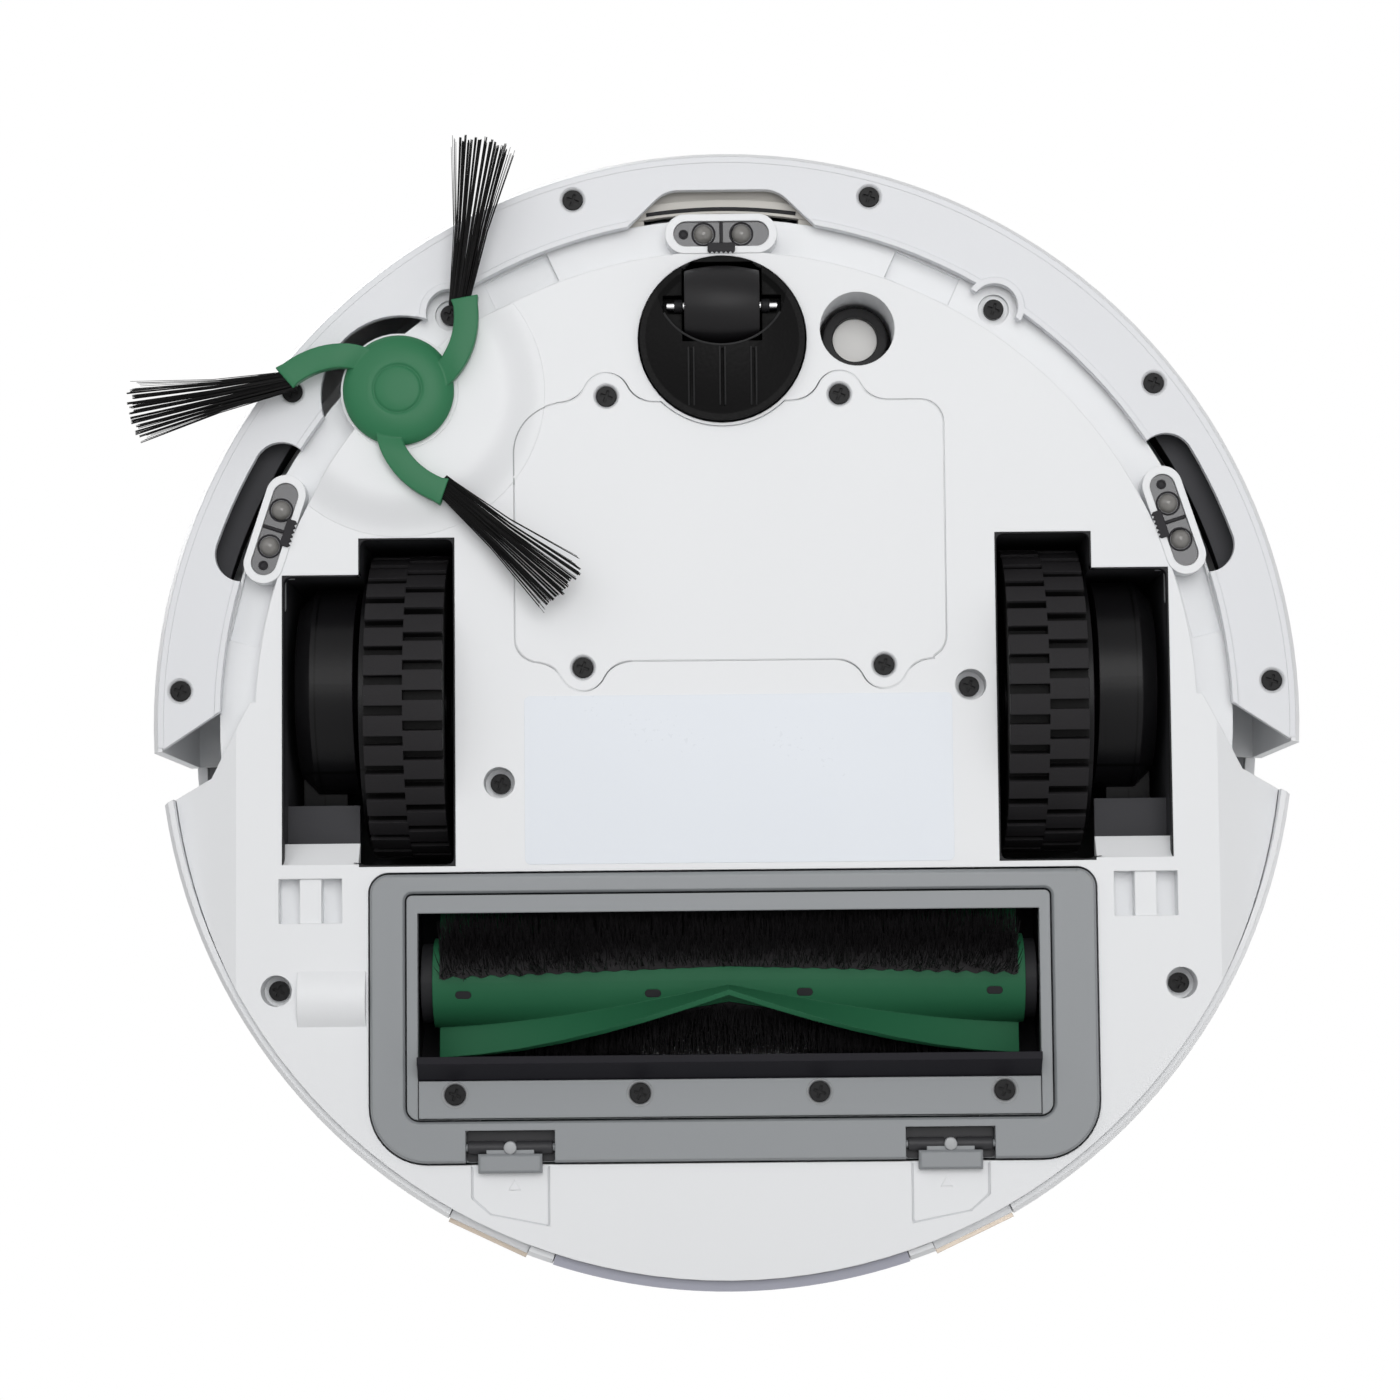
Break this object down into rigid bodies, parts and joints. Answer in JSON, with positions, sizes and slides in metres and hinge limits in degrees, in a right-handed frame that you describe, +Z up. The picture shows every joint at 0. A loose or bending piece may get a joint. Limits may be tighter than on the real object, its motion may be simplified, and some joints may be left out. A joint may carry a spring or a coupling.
{
  "type": "robot vacuum",
  "caption": "Compact round robot vacuum with sprung bumper, drive wheels on dropping arms, caster, side brush, main brush under a hinged guard, lift-out bin and lidar head.",
  "frame": {"origin": "centre of the round body, on the floor that the tyres and the caster stand on", "axes": "+Z up, -Y forward (the bumper), +X to the robot's left"},
  "size_m": [0.2487, 0.2451, 0.092],
  "materials": {
    "white_base": "satin",
    "white_shell": "satin",
    "white_ring": "satin",
    "dark_inner": "matte",
    "gloss_black": "gloss",
    "caster_black": "matte",
    "tyre_rubber": "matte",
    "squeegee_rubber": "matte",
    "grey_frame": "satin",
    "brush_green": "satin",
    "bristle": "satin",
    "screw_black": "satin",
    "pin_steel": "satin",
    "motor_steel": "satin",
    "contact_nickel": "polished",
    "smoky_window": "gloss",
    "clear_lens": "gloss",
    "sensor_face": "matte",
    "battery_wrap": "satin",
    "cell_metal": "satin",
    "board_green": "satin",
    "pale_strip": "matte",
    "foam": "matte",
    "bin_smoke": "gloss",
    "filter_paper": "matte"
  },
  "bodies": {
    "chassis": {"base_chassis": "white_base", "mid_frame": "dark_inner", "rear_shell": "white_shell", "top_cover": "white_shell", "rear_window": "smoky_window", "charge_contacts": "contact_nickel", "left_wheel_housing": "dark_inner", "right_wheel_housing": "dark_inner", "caster_socket": "dark_inner", "side_brush_motor": "motor_steel", "brush_chamber": "dark_inner", "brush_motor": "dark_inner", "battery_door": "white_base", "battery_case": "battery_wrap", "battery_cells": "cell_metal", "main_board": "board_green", "base_screws": "screw_black", "fan_housing": "dark_inner", "fan_motor": "motor_steel", "carpet_sensor_ring": "caster_black", "carpet_sensor_face": "sensor_face", "cliff_windows": "smoky_window", "cliff_lenses": "clear_lens", "lidar_cap": "white_shell", "front_strip": "pale_strip"},
    "bumper": {"bumper_shell": "white_shell", "bumper_ring": "white_ring", "bumper_foam": "foam", "bumper_screws": "screw_black"},
    "left_arm": {"left_gearbox": "gloss_black", "left_drive_motor": "motor_steel"},
    "left_wheel": {"left_rim": "gloss_black", "left_tyre": "tyre_rubber"},
    "right_arm": {"right_gearbox": "gloss_black", "right_drive_motor": "motor_steel"},
    "right_wheel": {"right_rim": "gloss_black", "right_tyre": "tyre_rubber"},
    "caster": {"caster_body": "caster_black", "caster_axle": "pin_steel"},
    "caster_roller": {"caster_wheel": "caster_black"},
    "side_brush": {"side_brush_hub": "brush_green", "side_brush_bristles": "bristle"},
    "main_brush": {"brush_core": "brush_green", "brush_bristles": "bristle", "brush_end_caps": "caster_black"},
    "guard": {"brush_guard": "grey_frame"},
    "left_latch": {"left_latch": "grey_frame"},
    "right_latch": {"right_latch": "grey_frame"},
    "mouth_frame": {"floating_frame": "grey_frame", "squeegee": "squeegee_rubber", "squeegee_strip": "grey_frame", "squeegee_screws": "screw_black"},
    "dust_bin": {"bin_tub": "bin_smoke", "bin_lid": "white_shell", "bin_filter": "filter_paper"},
    "bin_handle": {"bin_handle": "bin_smoke"},
    "clean_button": {"clean_button": "white_shell"},
    "dock_button": {"dock_button": "white_shell"},
    "lidar_head": {"lidar_rotor": "dark_inner"},
    "fan_wheel": {"fan_impeller": "dark_inner"}
  },
  "joints": [
    {"name": "bumper_press", "type": "slide", "parent": "chassis", "child": "bumper", "axis": [0, 1, 0], "range_m": [0, 0.004], "stiffness_N_per_m": 250, "springref_m": -0.002},
    {"name": "left_suspension", "type": "hinge", "parent": "chassis", "child": "left_arm", "pos_m": [0.0872, 0.024, 0.036], "axis": [-1, 0, 0], "range_deg": [-15, 0], "stiffness_Nm_per_rad": 0.15, "springref_deg": -34.38},
    {"name": "left_wheel_spin", "type": "hinge", "parent": "left_arm", "child": "left_wheel", "pos_m": [0.068, -0.0045, 0.033], "axis": [1, 0, 0], "continuous": true},
    {"name": "right_suspension", "type": "hinge", "parent": "chassis", "child": "right_arm", "pos_m": [-0.0872, 0.024, 0.036], "axis": [-1, 0, 0], "range_deg": [-15, 0], "stiffness_Nm_per_rad": 0.15, "springref_deg": -34.38},
    {"name": "right_wheel_spin", "type": "hinge", "parent": "right_arm", "child": "right_wheel", "pos_m": [-0.068, -0.0045, 0.033], "axis": [1, 0, 0], "continuous": true},
    {"name": "caster_swivel", "type": "hinge", "parent": "chassis", "child": "caster", "pos_m": [0, -0.081, 0.02], "axis": [0, 0, 1], "continuous": true},
    {"name": "caster_roll", "type": "hinge", "parent": "caster", "child": "caster_roller", "pos_m": [0, -0.088, 0.0086], "axis": [1, 0, 0], "continuous": true},
    {"name": "side_brush_spin", "type": "hinge", "parent": "chassis", "child": "side_brush", "pos_m": [-0.069, -0.07, 0.006], "axis": [0, 0, 1], "continuous": true},
    {"name": "main_brush_spin", "type": "hinge", "parent": "chassis", "child": "main_brush", "pos_m": [0, 0.0558, 0.0176], "axis": [1, 0, 0], "continuous": true},
    {"name": "guard_hinge", "type": "hinge", "parent": "chassis", "child": "guard", "pos_m": [0, 0.0339, 0.0085], "axis": [-1, 0, 0], "range_deg": [0, 75]},
    {"name": "mouth_float", "type": "slide", "parent": "guard", "child": "mouth_frame", "axis": [0, 0, 1], "range_m": [0, 0.002]},
    {"name": "left_latch_press", "type": "slide", "parent": "guard", "child": "left_latch", "axis": [0, -1, 0], "range_m": [0, 0.002], "stiffness_N_per_m": 300},
    {"name": "right_latch_press", "type": "slide", "parent": "guard", "child": "right_latch", "axis": [0, -1, 0], "range_m": [0, 0.002], "stiffness_N_per_m": 300},
    {"name": "bin_lift", "type": "slide", "parent": "chassis", "child": "dust_bin", "axis": [0, 0, 1], "range_m": [0, 0.06]},
    {"name": "bin_handle_fold", "type": "hinge", "parent": "dust_bin", "child": "bin_handle", "pos_m": [0, 0.0476, 0.078], "axis": [1, 0, 0], "range_deg": [0, 90]},
    {"name": "clean_button_press", "type": "slide", "parent": "chassis", "child": "clean_button", "axis": [0, 0, -1], "range_m": [0, 0.0008], "stiffness_N_per_m": 400},
    {"name": "dock_button_press", "type": "slide", "parent": "chassis", "child": "dock_button", "axis": [0, 0, -1], "range_m": [0, 0.0008], "stiffness_N_per_m": 400},
    {"name": "lidar_spin", "type": "hinge", "parent": "chassis", "child": "lidar_head", "pos_m": [0, -0.018, 0.085], "axis": [0, 0, 1], "continuous": true},
    {"name": "fan_spin", "type": "hinge", "parent": "chassis", "child": "fan_wheel", "pos_m": [0, 0.008, 0.048], "axis": [0, 0, 1], "continuous": true}
  ]
}
